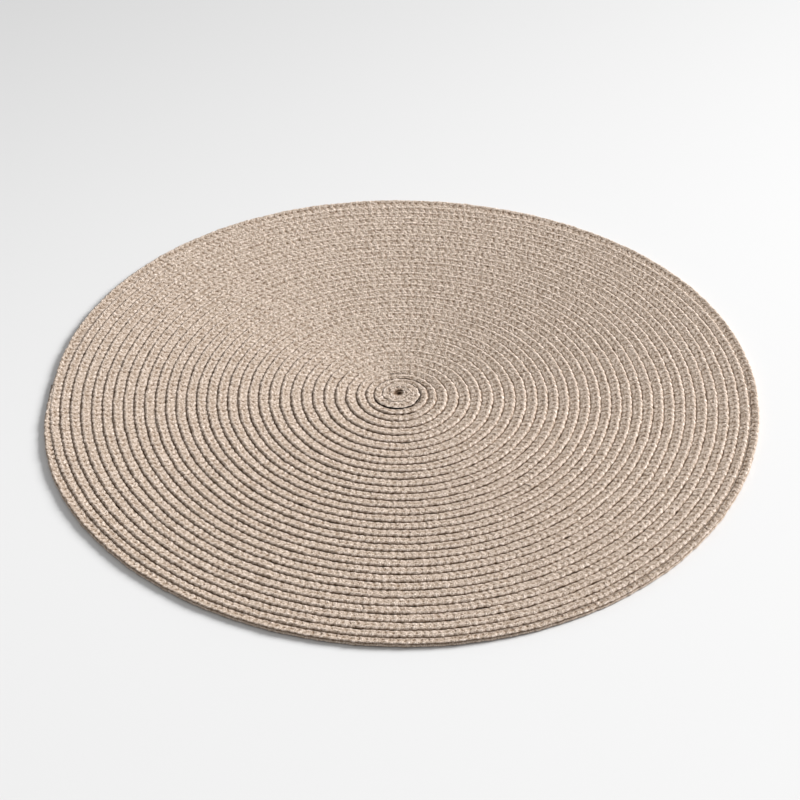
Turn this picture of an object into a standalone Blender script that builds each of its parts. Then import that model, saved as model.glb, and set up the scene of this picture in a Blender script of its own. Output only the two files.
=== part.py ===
"""Round placemat, 0.38 m across: one flat braided band wound in a spiral and sewn turn to turn.

Metres, +Z up. The underside lies flat at z = 0, and the origin is the middle of the mat's box there.
Turns are counted from the middle outwards, and the winding runs clockwise as seen from above.
Every turn overlaps the next one out like a roof tile, so its outer edge stands up as a step.
"""
import math

import bmesh
import bpy
import numpy as np

MM = 0.001

# Where the band's outer edge lies, turn by turn: turns wound, radius in metres
TURN_EDGES = (
    (0.0, 1.2 * MM),
    (1.0, 5.7 * MM),
    (2.0, 10.5 * MM),
    (4.0, 19.5 * MM),
    (6.0, 30.9 * MM),
    (9.0, 49.2 * MM),
    (13.0, 72.6 * MM),
    (18.0, 100.4 * MM),
    (23.0, 128.0 * MM),
    (28.0, 156.3 * MM),
    (32.0, 179.1 * MM),
    (34.55, 192.5 * MM),
)

# How far the outermost turn is out of round: waves around the mat, cosine and sine part in metres
OUT_OF_ROUND = (
    (1, 1.7 * MM, -0.5 * MM),
    (2, 0.2 * MM, -0.5 * MM),
    (3, 0.1 * MM, 1.2 * MM),
    (4, -0.2 * MM, 0.5 * MM),
)

# The band
STEPS_A_TURN = 60
FIRST_TURN = 1.5                # where the first step starts to rise out of the middle
LAST_TURN = 34.55
TAIL_BEARING = math.radians(177.0)
TAIL_SWEEP = 22.0 / 360.0       # turns over which the outer end tapers and is tucked under
TAIL_SHOWS = 0.3 * MM           # what is left to see of the band at its very end

# Heights, all above the surface that the mat lies on
EDGE_HEIGHT = 2.8 * MM          # top of a band along its outer edge
FOOT_HEIGHT = 1.5 * MM          # top of the next band where it comes out from under that edge
MIDDLE_HEIGHT = 1.9 * MM        # bottom of the dimple in the middle
TAIL_EDGE_HEIGHT = 1.2 * MM
TAIL_FOOT_HEIGHT = 0.6 * MM
FOOT_REACH = 0.3 * MM           # the step leans out by this much from edge to foot
RISE_SWEEP = 0.5                # turns over which the first step grows to its full height

BAND_COLOUR = (0.49, 0.39, 0.31, 1.0)
BAND_ROUGHNESS = 0.85


def clear_scene():
    for thing in list(bpy.data.objects):
        bpy.data.objects.remove(thing, do_unlink=True)


def band_material():
    material = bpy.data.materials.new("braided_band")
    material.use_nodes = True
    shader = material.node_tree.nodes["Principled BSDF"]
    shader.inputs["Base Color"].default_value = BAND_COLOUR
    shader.inputs["Roughness"].default_value = BAND_ROUGHNESS
    shader.inputs["Metallic"].default_value = 0.0
    return material


def bearing(turns):
    """Direction of a point on the band, anticlockwise from +X: it falls as the band winds outwards."""
    return TAIL_BEARING + 2.0 * math.pi * (LAST_TURN - turns)


def turn_radius(turns):
    """Radius of the band's outer edge, with the mat's slight out-of-round growing outwards."""
    counts, radii = zip(*TURN_EDGES)
    radius = float(np.interp(turns, counts, radii))
    share = radius / radii[-1]
    angle = bearing(turns)
    for waves, cosine, sine in OUT_OF_ROUND:
        growth = share if waves == 1 else share ** 2
        radius += growth * (cosine * math.cos(waves * angle) + sine * math.sin(waves * angle))
    return radius


def tail_share(turns):
    """1 on the whole band, falling to 0 where its outer end is tucked under."""
    left = min(max((LAST_TURN - turns) / TAIL_SWEEP, 0.0), 1.0)
    return 1.0 - (1.0 - left) ** 2


def edge_radius(turns):
    tucked = turn_radius(turns - 1.0) + FOOT_REACH + TAIL_SHOWS
    return tucked + (turn_radius(turns) - tucked) * tail_share(turns)


def ring_point(turns, radius, height):
    angle = bearing(turns)
    return (radius * math.cos(angle), radius * math.sin(angle), height)


def edge_point(turns):
    """Top of the band along its outer edge."""
    height = TAIL_EDGE_HEIGHT + (EDGE_HEIGHT - TAIL_EDGE_HEIGHT) * tail_share(turns)
    return ring_point(turns, edge_radius(turns), height)


def foot_point(turns):
    """Foot of the step under that edge, where the next turn comes out."""
    rise = min((turns - FIRST_TURN) / RISE_SWEEP, 1.0)
    full = TAIL_FOOT_HEIGHT + (FOOT_HEIGHT - TAIL_FOOT_HEIGHT) * tail_share(turns)
    height = edge_point(turns)[2]
    return ring_point(turns, edge_radius(turns) + FOOT_REACH * rise, height + (full - height) * rise)


def build_mat(material):
    steps = round((LAST_TURN - FIRST_TURN) * STEPS_A_TURN)
    turns = [FIRST_TURN + step / STEPS_A_TURN for step in range(steps + 1)]
    rim = range(steps - STEPS_A_TURN, steps + 1)

    mat = bmesh.new()
    edge = [mat.verts.new(edge_point(turn)) for turn in turns]
    foot = [edge[0]] + [mat.verts.new(foot_point(turn)) for turn in turns[1:]]
    ground = {step: mat.verts.new((foot[step].co.x, foot[step].co.y, 0.0)) for step in rim}
    middle = mat.verts.new((0.0, 0.0, MIDDLE_HEIGHT))

    # The middle: a shallow dish inside the first turn
    for step in range(STEPS_A_TURN - 1):
        mat.faces.new((middle, edge[step + 1], edge[step]))
    mat.faces.new((middle, edge[0], edge[STEPS_A_TURN], edge[STEPS_A_TURN - 1]))

    # The band: its step down to the next turn, and that turn's slope up to its own edge
    for step in range(steps):
        corners = [edge[step], edge[step + 1], foot[step + 1]]
        if foot[step] is not edge[step]:
            corners.append(foot[step])
        mat.faces.new(corners)
        beyond = step + STEPS_A_TURN
        if beyond < steps:
            mat.faces.new((foot[step], foot[step + 1], edge[beyond + 1], edge[beyond]))

    # The rim down to the surface, the band's blunt tucked end, and the flat underside
    for step in rim[:-1]:
        mat.faces.new((foot[step], foot[step + 1], ground[step + 1], ground[step]))
    mat.faces.new((edge[rim[-1]], foot[rim[-1]], ground[rim[-1]], ground[rim[0]], foot[rim[0]]))
    mat.faces.new([ground[step] for step in rim])

    bmesh.ops.recalc_face_normals(mat, faces=mat.faces)

    # The middle of the mat's box becomes the origin
    xs = [vertex.co.x for vertex in mat.verts]
    ys = [vertex.co.y for vertex in mat.verts]
    shift = (-(min(xs) + max(xs)) / 2.0, -(min(ys) + max(ys)) / 2.0, 0.0)
    bmesh.ops.translate(mat, vec=shift, verts=mat.verts)

    mesh = bpy.data.meshes.new("mat")
    mat.to_mesh(mesh)
    mat.free()
    mesh.materials.append(material)
    mesh.shade_smooth()
    mesh.set_sharp_from_angle(angle=math.radians(30.0))
    placemat = bpy.data.objects.new("mat", mesh)
    bpy.context.scene.collection.objects.link(placemat)
    return placemat


clear_scene()
build_mat(band_material())
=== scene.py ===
import math

import bpy
import numpy as np
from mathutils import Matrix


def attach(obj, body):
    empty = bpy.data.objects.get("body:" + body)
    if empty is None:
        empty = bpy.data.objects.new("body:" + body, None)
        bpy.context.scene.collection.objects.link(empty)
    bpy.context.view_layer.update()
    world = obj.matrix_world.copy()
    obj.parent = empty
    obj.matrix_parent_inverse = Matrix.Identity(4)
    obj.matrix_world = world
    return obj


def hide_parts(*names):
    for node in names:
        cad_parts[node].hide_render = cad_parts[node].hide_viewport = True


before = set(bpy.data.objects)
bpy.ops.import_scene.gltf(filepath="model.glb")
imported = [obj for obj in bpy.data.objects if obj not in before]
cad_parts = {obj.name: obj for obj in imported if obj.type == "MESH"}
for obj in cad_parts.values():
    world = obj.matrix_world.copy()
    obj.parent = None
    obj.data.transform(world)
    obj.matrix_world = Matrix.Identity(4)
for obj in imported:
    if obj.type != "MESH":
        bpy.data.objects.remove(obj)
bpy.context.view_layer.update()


# The winding
# One long knitted band makes the whole mat. It starts in a tight curl in the middle and winds outwards,
# clockwise as seen from above, and every turn is sewn down on the next one like a roof tile.
MM = 0.001

# Where the band's outer edge lies: turns wound, and radius in mm
TURNS_WOUND = (0.0, 1.0, 2.0, 4.0, 6.0, 9.0, 13.0, 18.0, 23.0, 28.0, 32.0, 34.55)
EDGE_RADII = (1.2, 5.7, 10.5, 19.5, 30.9, 49.2, 72.6, 100.4, 128.0, 156.3, 179.1, 192.5)

# How far the outermost turn is out of round: waves around the mat, cosine and sine part
OUT_OF_ROUND = (
    (1, 1.7 * MM, -0.5 * MM),
    (2, 0.2 * MM, -0.5 * MM),
    (3, 0.1 * MM, 1.2 * MM),
    (4, -0.2 * MM, 0.5 * MM),
)

# The turns aren't sewn quite round one middle: turns wound, and how far they lie right and back in mm
DRIFT_TURNS = (0.0, 5.0, 12.0, 20.0, 27.0, 33.25, 33.6, 34.55)
DRIFT_RIGHT = (0.0, 0.2, 0.5, 0.5, 0.4, 0.4, 0.0, 0.0)
DRIFT_BACK = (0.0, -2.55, -2.7, -2.65, -2.6, -2.4, -1.65, -1.65)

RIM_TURN = 33.55                # where the outermost turn starts
LAST_TURN = 34.55
TAIL_BEARING = math.radians(177.0)
TAIL_SWEEP = 36.0 / 360.0       # turns over which the outer end tapers and is tucked under
TAIL_SHOWS = 0.1 * MM           # what is left to see of the band at its very end
MAT_MIDDLE = (-1.84 * MM, 4.67 * MM)


def bearing(turns):
    """Direction of a point on the band, anticlockwise from +X: it falls as the band winds outwards."""
    return TAIL_BEARING + 2.0 * math.pi * (LAST_TURN - turns)


def turn_radius(turns):
    """Radius of the band's outer edge, with the out-of-round that grows outwards and the drift."""
    radius = np.interp(turns, TURNS_WOUND, EDGE_RADII) * MM
    share = radius / (EDGE_RADII[-1] * MM)
    angle = bearing(turns)
    for waves, cosine, sine in OUT_OF_ROUND:
        growth = share if waves == 1 else share ** 2
        radius = radius + growth * (cosine * np.cos(waves * angle) + sine * np.sin(waves * angle))
    radius = radius + np.interp(turns, DRIFT_TURNS, DRIFT_RIGHT) * MM * np.cos(angle)
    return radius + np.interp(turns, DRIFT_TURNS, DRIFT_BACK) * MM * np.sin(angle)


def tail_share(turns):
    """1 on the whole band, falling to 0 where its outer end is tucked under."""
    left = np.clip((LAST_TURN - turns) / TAIL_SWEEP, 0.0, 1.0)
    return 1.0 - (1.0 - left) ** 2


def edge_radius(turns):
    tucked = turn_radius(turns - 1.0) + TAIL_SHOWS
    return tucked + (turn_radius(turns) - tucked) * tail_share(turns)


def eased(value, low, high):
    """0 up to low and 1 from high on, with a smooth rise between them."""
    share = np.clip((value - low) / (high - low), 0.0, 1.0)
    return share * share * (3.0 - 2.0 * share)


# The knitted band
# A flat knitted tube of taupe yarn, 7 mm wide and 1.4 mm thick. Its stitches lie along it as a row of
# V shapes: a plump leg on the inner half, a small hole at the point, and a flatter leg towards the edge.
BAND_WIDTH = 6.9 * MM
CREST_HEIGHT = 2.8 * MM
TAIL_CREST_HEIGHT = 2.5 * MM
LEAST_HEIGHT = 0.02 * MM
STITCH = 3.7 * MM

# The rows of points along one stitch: where each lies on it, its share of the relief and of the hole
ROW_AT = np.array((0.0, 0.17, 0.39, 0.61, 0.83))
ROW_RELIEF = np.array((-0.6, 0.0, 0.8, 1.0, 0.3))
ROW_HOLE = np.array((1.0, 0.25, 0.0, 0.0, 0.25))
ROWS_A_STITCH = len(ROW_AT)

# Across the band, from its tucked inner edge over the top to its outer edge and back below. The columns:
# 1 if the distance counts from the edge of the turn before, distance in from the edge, depth below the
# crest, relief of a stitch, depth of its hole, all in mm, then lean along the band as a share of a
# stitch, how far the relief points outwards, and the painted light and shade on the yarn: below 1 it is
# painted shade in the creases, under the edge and underneath, above 1 painted highlight on the crest
TOP_OF_BAND = (
    (0, 6.90, 1.95, 0.00, 0.00, 0.36, 0.0, 0.1),
    (1, 0.10, 1.24, 0.00, 0.00, 0.36, 0.0, 0.05),
    (1, -0.25, 1.04, 0.06, 0.00, 0.34, 0.0, 0.45),
    (1, -0.65, 0.84, 0.18, 0.00, 0.30, 0.0, 0.86),
    (1, -1.25, 0.64, 0.17, 0.03, 0.24, 0.0, 0.98),
    (0, 3.65, 0.49, 0.08, 0.05, 0.17, 0.0, 0.94),
    (0, 3.05, 0.36, 0.04, 0.13, 0.09, 0.0, 0.93),
    (0, 2.45, 0.23, 0.02, 0.38, 0.00, 0.0, 0.95),
    (0, 1.95, 0.11, 0.02, 0.16, 0.06, 0.0, 1.0),
    (0, 1.40, 0.02, 0.05, 0.00, 0.12, 0.1, 1.03),
    (0, 0.92, 0.00, 0.10, 0.00, 0.18, 0.4, 1.03),
)
SEWN_EDGE = (
    (0, 0.50, 0.12, 0.22, 0.00, 0.22, 0.7, 1.03),
    (0, 0.14, 0.43, 0.23, 0.00, 0.25, 0.9, 0.82),
    (0, -0.24, 0.84, 0.13, 0.00, 0.25, 1.0, 0.38),
    (0, 0.08, 1.22, 0.00, 0.00, 0.25, 0.0, 0.05),
)
# The underside is painted dark with painted shade, which also darkens the hole in the middle
UNDERSIDE = (
    (0, 3.60, 2.60, 0.00, 0.00, 0.15, 0.0, 0.2),
    (0, 6.90, 2.75, 0.00, 0.00, 0.36, 0.0, 0.2),
)
ACROSS = np.array(TOP_OF_BAND + SEWN_EDGE + UNDERSIDE)

# Depths below the crest, in mm, that tell the sides of the section apart
LIT_SIDE_ENDS = 1.5
TOP_ENDS = 2.0
LAST_OF_UNDERSIDE = 2.7

# The curl in the middle: its turns lie level, rougher than the rest, around a small hole, with most of the
# painted shade taken off their tops
CURL_SETTLES = (2.2, 2.9)       # turns over which the level curl gives way to the steps
CURL_LEVEL = 0.9                # share of the slope that is gone in the curl
CURL_ROUGHER = 3.0
CURL_LESS_PAINTED_SHADE = 0.95
CURL_RISES = 1.5                # turns over which the crest rises from the middle
MIDDLE_LOWER = 0.5 * MM
HOLE_RADIUS = 0.8 * MM
HOLE_WIDENS = 0.6 * MM
WIDENING_TURNS = (0.7, 1.2)
HOLE_CLOSED_BELOW = 0.1 * MM    # radius left open under the first turn
LEAST_FIT = 0.02                # the band's width at its very start, as a share
LEAST_RELIEF = 0.4              # relief of a stitch where the band is drawn in to nothing
WAVERS_FROM = (0.3, 2.0)        # turns over which the edge starts to waver

# What a stitch's relief and hole do to its shape, and the painted light on it: painted shade in the hole and
# in the dips, painted highlight on top of the relief
HOLE_SINKS = 0.6
HOLE_PAINTED_SHADE = 1.9
RELIEF_PAINTED_HIGHLIGHT = 1.3
MOST_PAINTED_LIGHT = 1.4

# The band's length, measured from the middle outwards along its body, in stitches
SAMPLES_A_TURN = 720
BODY_AT = 0.4                   # share of its width in from the edge
SMALLEST_BODY_RADIUS = 1.5 * MM
spins = np.linspace(0.0, LAST_TURN, round(LAST_TURN * SAMPLES_A_TURN) + 1)
mid_radius = np.maximum(edge_radius(spins) - BODY_AT * BAND_WIDTH, SMALLEST_BODY_RADIUS)
steps = np.hypot(np.diff(mid_radius), 0.5 * (mid_radius[1:] + mid_radius[:-1]) * np.diff(bearing(spins)))
run = np.concatenate(((0.0,), np.cumsum(steps)))
stitches = int(run[-1] / STITCH)

# No two stitches are quite alike, and the edge and the height waver slowly. Wavelengths are in mm
chance = np.random.default_rng(20)
PLUMPNESS_SPREAD = 0.22
PLUMPNESS_LIMITS = (0.5, 1.5)
SPACING_SPREAD = 0.035
EDGE_WAVES = (5.9, 8.3, 12.7, 21.1, 41.7)
EDGE_WAVERS = 0.12 * MM
HEIGHT_WAVES = (13.1, 23.9, 47.0)
HEIGHT_WAVERS = 0.05 * MM
ROUGHNESS_OF_KNIT = 0.05 * MM
MOST_POINTS_ACROSS = 25


def sway(lengths, wavelengths, amount):
    """Slow waves along the band, of several lengths at once."""
    total = np.zeros_like(lengths)
    for wave in wavelengths:
        total += np.sin(2.0 * math.pi * lengths / (wave * MM) + chance.uniform(0.0, 2.0 * math.pi))
    return total * amount / math.sqrt(0.5 * len(wavelengths))


def for_each_row(values):
    """One value a stitch becomes one value a row."""
    return np.repeat(values, ROWS_A_STITCH)[:stitches * ROWS_A_STITCH + 1]


plumpness = for_each_row(chance.normal(1.0, PLUMPNESS_SPREAD, stitches + 1).clip(*PLUMPNESS_LIMITS))
row_phase = for_each_row(np.arange(stitches + 1))
row_phase = row_phase + for_each_row(chance.normal(0.0, SPACING_SPREAD, stitches + 1))
row_phase = row_phase + np.append(np.tile(ROW_AT, stitches), 0.0)
row_lengths = row_phase * STITCH
relief = np.append(np.tile(ROW_RELIEF, stitches), ROW_RELIEF[0]) * plumpness
holes = np.append(np.tile(ROW_HOLE, stitches), ROW_HOLE[0]) * plumpness
edge_sway = sway(row_lengths, EDGE_WAVES, EDGE_WAVERS)
height_sway = sway(row_lengths, HEIGHT_WAVES, HEIGHT_WAVERS)
uneven = chance.normal(0.0, ROUGHNESS_OF_KNIT, (len(row_lengths), MOST_POINTS_ACROSS))


def band_points(section, first, last):
    """Points of the band, rows along it by points across, with their place on it and the painted light and
    shade on them.
    """
    rows = slice(first, last + 1)
    section = np.broadcast_to(section, (last + 1 - first,) + section.shape[-2:])
    # The last column is painted light and shade: below 1 painted shade, above 1 painted highlight
    from_step, inwards, below, ridge, pit, lean, outwards, painted_shading = np.moveaxis(section, -1, 0)
    lengths = row_lengths[rows, None] + lean * STITCH
    turns = np.interp(lengths, run, spins)
    curl = 1.0 - eased(turns, *CURL_SETTLES)

    # The radius of its edge, and how much of its width fits between that edge and the hole in the middle
    radius = edge_radius(turns)
    pitch = radius - edge_radius(turns - 1.0)
    hole = HOLE_RADIUS + HOLE_WIDENS * eased(turns, *WIDENING_TURNS)
    fit = np.clip((radius - hole) / BAND_WIDTH, LEAST_FIT, 1.0)

    # The relief of the stitches
    hole_depth = holes[rows, None] * pit
    bulge = (relief[rows, None] * ridge - HOLE_SINKS * hole_depth) * MM
    rough = uneven[rows, :section.shape[1]] * (1.0 + CURL_ROUGHER * curl) * (ridge > 0.0)
    bulge = bulge * (LEAST_RELIEF + (1.0 - LEAST_RELIEF) * fit) + rough

    # Heights
    crest = CREST_HEIGHT - MIDDLE_LOWER * (1.0 - eased(turns, 0.0, CURL_RISES))
    crest = TAIL_CREST_HEIGHT + (crest - TAIL_CREST_HEIGHT) * tail_share(turns)
    settled = np.where(below > TOP_ENDS, 1.0, 1.0 - CURL_LEVEL * curl)
    height = crest - below * MM * settled + height_sway[rows, None]
    height = np.maximum(height + bulge * (1.0 - outwards), LEAST_HEIGHT)

    # Distances from the middle. Under the first turn the band's underside closes the hole, and its painted
    # shade makes the hole dark
    across = np.minimum(inwards * MM + from_step * pitch, BAND_WIDTH)
    reach = radius + edge_sway[rows, None] * eased(turns, *WAVERS_FROM) - across * fit + bulge * outwards
    reach = np.where((turns < 1.0) & (below > LAST_OF_UNDERSIDE), HOLE_CLOSED_BELOW, reach)
    angle = bearing(turns)
    x = MAT_MIDDLE[0] + reach * np.cos(angle)
    y = MAT_MIDDLE[1] + reach * np.sin(angle)

    # The place on the band: stitches along it, and mm across it, counted on down the edge
    down_the_edge = np.where(np.arange(section.shape[1]) >= len(TOP_OF_BAND), below, 0.0)
    place = np.stack((np.broadcast_to(row_phase[rows, None], across.shape), across / MM - down_the_edge), -1)

    # In the curl most of the painted shade on the top side is lifted
    shown = painted_shading + (1.0 - painted_shading) * CURL_LESS_PAINTED_SHADE * curl * (below < LIT_SIDE_ENDS)
    # Painted shade in the stitch holes and dips, painted highlight on the stitch tops
    light = 1.0 - HOLE_PAINTED_SHADE * hole_depth + RELIEF_PAINTED_HIGHLIGHT * relief[rows, None] * ridge
    return np.stack((x, y, height), -1), place, shown * light.clip(0.0, MOST_PAINTED_LIGHT)


def band_piece(name, section, first, last):
    """A closed length of band, from one row to another."""
    points, place, light = band_points(section, first, last)
    rows, around = points.shape[:2]
    corner = np.arange(rows * around).reshape(rows, around)
    beside = np.roll(corner, -1, axis=1)
    quads = np.stack((corner[:-1], corner[1:], beside[1:], beside[:-1]), -1).reshape(-1, 4)
    mesh = bpy.data.meshes.new(name)
    faces = quads.tolist() + [corner[0].tolist(), corner[-1][::-1].tolist()]
    mesh.from_pydata(points.reshape(-1, 3).tolist(), [], faces)
    corners = np.empty(len(mesh.loops), dtype=np.int32)
    mesh.loops.foreach_get("vertex_index", corners)
    layer = mesh.uv_layers.new(name="along_band")
    layer.uv.foreach_set("vector", place.reshape(-1, 2)[corners].astype(np.float32).ravel())
    # The painted light and shade are kept on the points for the material
    painted_shading_layer = mesh.attributes.new("painted_light_and_shade", "FLOAT", "POINT")
    painted_shading_layer.data.foreach_set("value", light.ravel().astype(np.float32))
    mesh.shade_smooth()
    mesh.update()
    piece = bpy.data.objects.new(name, mesh)
    bpy.context.scene.collection.objects.link(piece)
    return piece


# The yarn
# Spun matt yarn in a warm taupe, with painted highlight on top of each stitch and painted shade down between
# them.
# Light and dark fibres are spun together, so it is mottled in streaks, in clumps and in longer batches.
# Colours for the painted light and shade on the yarn, from the deepest painted shade to the brightest
# painted highlight
BRIGHTEST = 1.6
PAINTED_SHADING_COLOURS = (
    (0.0, (0.015, 0.006, 0.002, 1.0)),
    (0.3, (0.15, 0.085, 0.045, 1.0)),
    (0.7, (0.41, 0.315, 0.24, 1.0)),
    (1.0, (0.59, 0.48, 0.395, 1.0)),
    (BRIGHTEST, (0.92, 0.79, 0.695, 1.0)),
)
NOISE_LOW = 0.3
NOISE_HIGH = 0.7
FIBRE_RELIEF = 0.4              # relief of the fibres as a share of that of the clumps

yarn = bpy.data.materials.new("braided_band")
yarn.use_nodes = True
nodes, links = yarn.node_tree.nodes, yarn.node_tree.links
shader = nodes["Principled BSDF"]
shader.inputs["Roughness"].default_value = 0.6
shader.inputs["Specular IOR Level"].default_value = 0.15

place = nodes.new("ShaderNodeUVMap")
place.uv_map = "along_band"
# The painted light and shade that the band's points carry
painted_shading = nodes.new("ShaderNodeAttribute")
painted_shading.attribute_name = "painted_light_and_shade"
painted_shading.attribute_type = "GEOMETRY"


def yarn_noise(along, across, detail, seed, darkest, lightest):
    """A mottle whose spots are so many mm along and across the band, and the shade that it gives."""
    stretch = nodes.new("ShaderNodeMapping")
    stretch.inputs["Location"].default_value = (seed, 2.0 * seed, 0.0)
    stretch.inputs["Scale"].default_value = (STITCH / MM / along, 1.0 / across, 1.0)
    noise = nodes.new("ShaderNodeTexNoise")
    noise.inputs["Scale"].default_value = 1.0
    noise.inputs["Detail"].default_value = detail
    noise.inputs["Roughness"].default_value = 0.6
    links.new(place.outputs["UV"], stretch.inputs["Vector"])
    links.new(stretch.outputs["Vector"], noise.inputs["Vector"])
    shade = nodes.new("ShaderNodeMapRange")
    shade.inputs["From Min"].default_value = NOISE_LOW
    shade.inputs["From Max"].default_value = NOISE_HIGH
    shade.inputs["To Min"].default_value = darkest
    shade.inputs["To Max"].default_value = lightest
    links.new(noise.outputs["Fac"], shade.inputs["Value"])
    return noise.outputs["Fac"], shade.outputs["Result"]


fibre, fibre_shade = yarn_noise(0.5, 1.4, 1.0, 3.1, 0.62, 1.3)
clump, clump_shade = yarn_noise(1.3, 1.3, 2.0, 17.7, 0.68, 1.27)
_, batch_shade = yarn_noise(5.0, 3.0, 2.0, 41.3, 0.8, 1.16)
light = painted_shading.outputs["Fac"]
for shade in (fibre_shade, clump_shade, batch_shade):
    times = nodes.new("ShaderNodeMath")
    times.operation = "MULTIPLY"
    links.new(light, times.inputs[0])
    links.new(shade, times.inputs[1])
    light = times.outputs["Value"]

# The painted light and shade pick the colour from the ramp: painted shade darker and browner, painted
# highlight paler
span = nodes.new("ShaderNodeMapRange")
span.inputs["From Max"].default_value = BRIGHTEST
links.new(light, span.inputs["Value"])
painted_shading_ramp = nodes.new("ShaderNodeValToRGB")
stops = painted_shading_ramp.color_ramp.elements
for end, (brightness, colour) in zip(stops, (PAINTED_SHADING_COLOURS[0], PAINTED_SHADING_COLOURS[-1])):
    end.position = brightness / BRIGHTEST
    end.color = colour
for brightness, colour in PAINTED_SHADING_COLOURS[1:-1]:
    stops.new(brightness / BRIGHTEST).color = colour
links.new(span.outputs["Result"], painted_shading_ramp.inputs["Fac"])
links.new(painted_shading_ramp.outputs["Color"], shader.inputs["Base Color"])

fuzz = nodes.new("ShaderNodeMath")
fuzz.operation = "MULTIPLY_ADD"
fuzz.inputs[1].default_value = FIBRE_RELIEF
links.new(fibre, fuzz.inputs[0])
links.new(clump, fuzz.inputs[2])
bump = nodes.new("ShaderNodeBump")
bump.inputs["Strength"].default_value = 1.0
bump.inputs["Distance"].default_value = 0.75 * MM
links.new(fuzz.outputs["Value"], bump.inputs["Height"])
links.new(bump.outputs["Normal"], shader.inputs["Normal"])


# The inner turns
# All of the band but its outermost turn, in five lengths laid end to end. The real band lies 7 mm wide.
LENGTHS = 5
RIM_LEAD = 0.03                 # turns by which the outermost piece starts before its turn does


def lay_band(name, section, first, last):
    piece = band_piece(name, section, first, last)
    piece.data.materials.append(yarn)
    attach(piece, "root")
    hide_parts("mat")


rim_stitch = int(np.interp(RIM_TURN - RIM_LEAD, spins, run) / STITCH)
joins = np.linspace(0, rim_stitch, LENGTHS + 1).round().astype(int) * ROWS_A_STITCH
for number in range(LENGTHS):
    lay_band(f"band_length_{number + 1}", ACROSS, int(joins[number]), int(joins[number + 1]))


# The outermost turn
# The last turn of the same band. Nothing lies under its edge, so that edge rolls down to the table and
# shows the two layers of the knitted tube, with a groove between them. Its end tapers and is tucked under.
# The last column paints shade into the groove and under the edge, and a little painted light on the lower
# roll
RIM_EDGE = (
    (0, 6.90, 1.90, 0.00, 0.00, 0.36, 0.0, 0.1),
    (1, 0.10, 1.08, 0.00, 0.00, 0.36, 0.0, 0.5),
    (1, -0.25, 0.98, 0.06, 0.00, 0.34, 0.0, 0.85),
    (1, -0.65, 0.92, 0.14, 0.03, 0.30, 0.0, 0.92),
    (1, -1.25, 0.80, 0.16, 0.03, 0.24, 0.0, 0.94),
    (0, 3.65, 0.68, 0.10, 0.05, 0.17, 0.0, 0.9),
    (0, 3.05, 0.57, 0.06, 0.15, 0.09, 0.0, 0.9),
    (0, 2.45, 0.46, 0.03, 0.42, 0.00, 0.0, 0.9),
    (0, 1.95, 0.34, 0.04, 0.20, 0.06, 0.0, 0.9),
    (0, 1.40, 0.22, 0.08, 0.00, 0.12, 0.0, 0.9),
    (0, 0.92, 0.12, 0.12, 0.00, 0.18, 0.2, 0.92),
    (0, 0.25, 0.00, 0.18, 0.00, 0.22, 0.4, 0.97),
    (0, -0.20, 0.18, 0.22, 0.00, 0.25, 0.8, 0.95),
    (0, 0.00, 0.85, 0.04, 0.00, 0.25, 1.0, 0.3),
    (0, -0.30, 1.15, 0.06, 0.00, 0.25, 1.0, 0.9),
    (0, -0.48, 1.65, 0.06, 0.00, 0.25, 1.0, 1.1),
    (0, -0.38, 2.25, 0.04, 0.00, 0.25, 1.0, 0.9),
    (0, 0.05, 2.70, 0.00, 0.00, 0.25, 0.0, 0.4),
)

# The same edge where it still lies on the next turn, with as many points as the rolled one
HIDDEN_EDGE = SEWN_EDGE[:3] + (
    (0, 0.00, 1.02, 0.05, 0.00, 0.25, 1.0, 0.1),
    (0, 0.08, 1.22, 0.05, 0.00, 0.25, 1.0, 0.05),
    (0, 0.60, 1.40, 0.05, 0.00, 0.25, 1.0, 0.05),
    (0, 1.00, 1.55, 0.00, 0.00, 0.25, 0.0, 0.05),
)
ROLLS_OUT = (RIM_TURN - 0.01, RIM_TURN + 0.03)
ROLLS_BACK = 0.6 * TAIL_SWEEP   # turns before the end of the band over which it lies flat again

rim_first = int(joins[-1])
rim_last = stitches * ROWS_A_STITCH
rim_turns = np.interp(row_lengths[rim_first:rim_last + 1], run, spins)
unrolled = eased(rim_turns, *ROLLS_OUT) * eased(LAST_TURN - rim_turns, 0.0, ROLLS_BACK)
unrolled = unrolled[:, None, None]
hidden = np.array(TOP_OF_BAND + HIDDEN_EDGE + UNDERSIDE)
open_edge = np.array(RIM_EDGE + UNDERSIDE)
lay_band("outermost_turn", hidden + (open_edge - hidden) * unrolled, rim_first, rim_last)


# The table top
# A plain matt white paper surface, much larger than the view, with painted shade that makes it a little
# greyer towards the far left, where the light falls off.
FAR_LEFT = math.radians(-120.0)
PAINTED_SHADE_FROM = -0.05
PAINTED_SHADE_TO = 0.83
WHITE = 0.76
PAINTED_SHADE_GREY = 0.49

bpy.ops.object.select_all(action="DESELECT")
bpy.ops.mesh.primitive_plane_add(size=8.0, location=(0.0, 0.0, 0.0))
table_top = bpy.context.object
table_top.name = "table_top"
paper = bpy.data.materials.new("white_surface")
paper.use_nodes = True
nodes, links = paper.node_tree.nodes, paper.node_tree.links
shader = nodes["Principled BSDF"]
shader.inputs["Roughness"].default_value = 0.9
where = nodes.new("ShaderNodeTexCoord")
turned = nodes.new("ShaderNodeMapping")
turned.inputs["Rotation"].default_value = (0.0, 0.0, FAR_LEFT)
towards_left = nodes.new("ShaderNodeSeparateXYZ")
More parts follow.
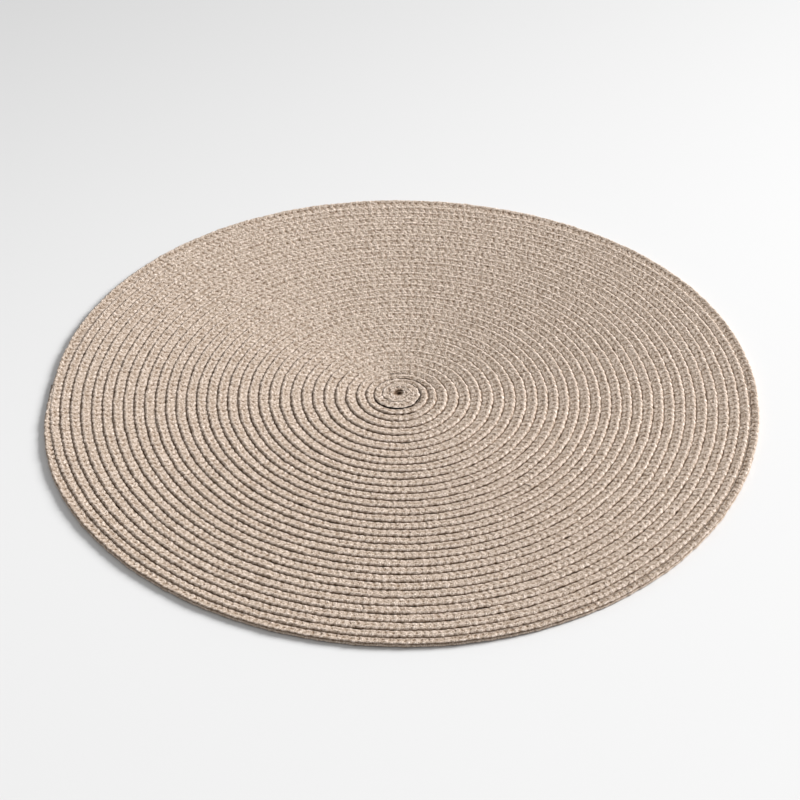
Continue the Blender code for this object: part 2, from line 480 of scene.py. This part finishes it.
# Painted shade: the paper's colour greys towards the far left
painted_falloff = nodes.new("ShaderNodeMapRange")
painted_falloff.interpolation_type = "SMOOTHSTEP"
painted_falloff.inputs["From Min"].default_value = PAINTED_SHADE_FROM
painted_falloff.inputs["From Max"].default_value = PAINTED_SHADE_TO
painted_falloff.inputs["To Min"].default_value = WHITE
painted_falloff.inputs["To Max"].default_value = PAINTED_SHADE_GREY
links.new(where.outputs["Object"], turned.inputs["Vector"])
links.new(turned.outputs["Vector"], towards_left.inputs["Vector"])
links.new(towards_left.outputs["X"], painted_falloff.inputs["Value"])
links.new(painted_falloff.outputs["Result"], shader.inputs["Base Color"])
table_top.data.materials.append(paper)


# Studio light
# A large soft lamp low on the right and a little behind, and soft light from all round, weaker in front.
KEY_BEARING = math.radians(25.0)
KEY_HEIGHT = math.radians(27.0)
KEY_AWAY = 8.0
KEY_SIZE = 3.3
KEY_POWER = 1090.0
GLOW_IN_FRONT = 0.26
GLOW_BEHIND = 0.64

key = bpy.data.lights.new("key_lamp", "AREA")
key.shape = "DISK"
key.size = KEY_SIZE
key.energy = KEY_POWER
key_lamp = bpy.data.objects.new("key_lamp", key)
key_lamp.location = (
    KEY_AWAY * math.cos(KEY_HEIGHT) * math.cos(KEY_BEARING),
    KEY_AWAY * math.cos(KEY_HEIGHT) * math.sin(KEY_BEARING),
    KEY_AWAY * math.sin(KEY_HEIGHT),
)
key_lamp.rotation_euler = (-key_lamp.location).to_track_quat("-Z", "Y").to_euler()
bpy.context.scene.collection.objects.link(key_lamp)

room = bpy.data.worlds.new("room")
room.use_nodes = True
nodes, links = room.node_tree.nodes, room.node_tree.links
side = nodes.new("ShaderNodeTexCoord")
towards_back = nodes.new("ShaderNodeVectorMath")
towards_back.operation = "DOT_PRODUCT"
towards_back.inputs[1].default_value = (0.0, 1.0, 0.0)
glow = nodes.new("ShaderNodeMapRange")
glow.inputs["From Min"].default_value = -1.0
glow.inputs["From Max"].default_value = 1.0
glow.inputs["To Min"].default_value = GLOW_IN_FRONT
glow.inputs["To Max"].default_value = GLOW_BEHIND
links.new(side.outputs["Generated"], towards_back.inputs[0])
links.new(towards_back.outputs["Value"], glow.inputs["Value"])
links.new(glow.outputs["Result"], nodes["Background"].inputs["Strength"])
nodes["Background"].inputs["Color"].default_value = (1.0, 1.0, 1.0, 1.0)
bpy.context.scene.world = room
bpy.context.scene.view_settings.view_transform = "Standard"


# The camera
# It stands in front of the mat and looks down on it at the photograph's angle.
CAMERA_DOWN = math.radians(38.061)
CAMERA_ROLL = math.radians(-0.077)
CAMERA_AWAY = 1387.5 * MM
AIM = (-0.95 * MM, 1.76 * MM, 0.0)
lens = bpy.data.cameras.new("camera")
lens.lens = 116.86
lens.sensor_width = 36.0
lens.clip_start = 0.05
lens.clip_end = 50.0
camera = bpy.data.objects.new("camera", lens)
camera.location = (
    AIM[0],
    AIM[1] - CAMERA_AWAY * math.cos(CAMERA_DOWN),
    CAMERA_AWAY * math.sin(CAMERA_DOWN),
)
camera.rotation_mode = "ZYX"
camera.rotation_euler = (math.pi / 2.0 - CAMERA_DOWN, 0.0, CAMERA_ROLL)
bpy.context.scene.collection.objects.link(camera)
bpy.context.scene.camera = camera

bpy.context.view_layer.update()
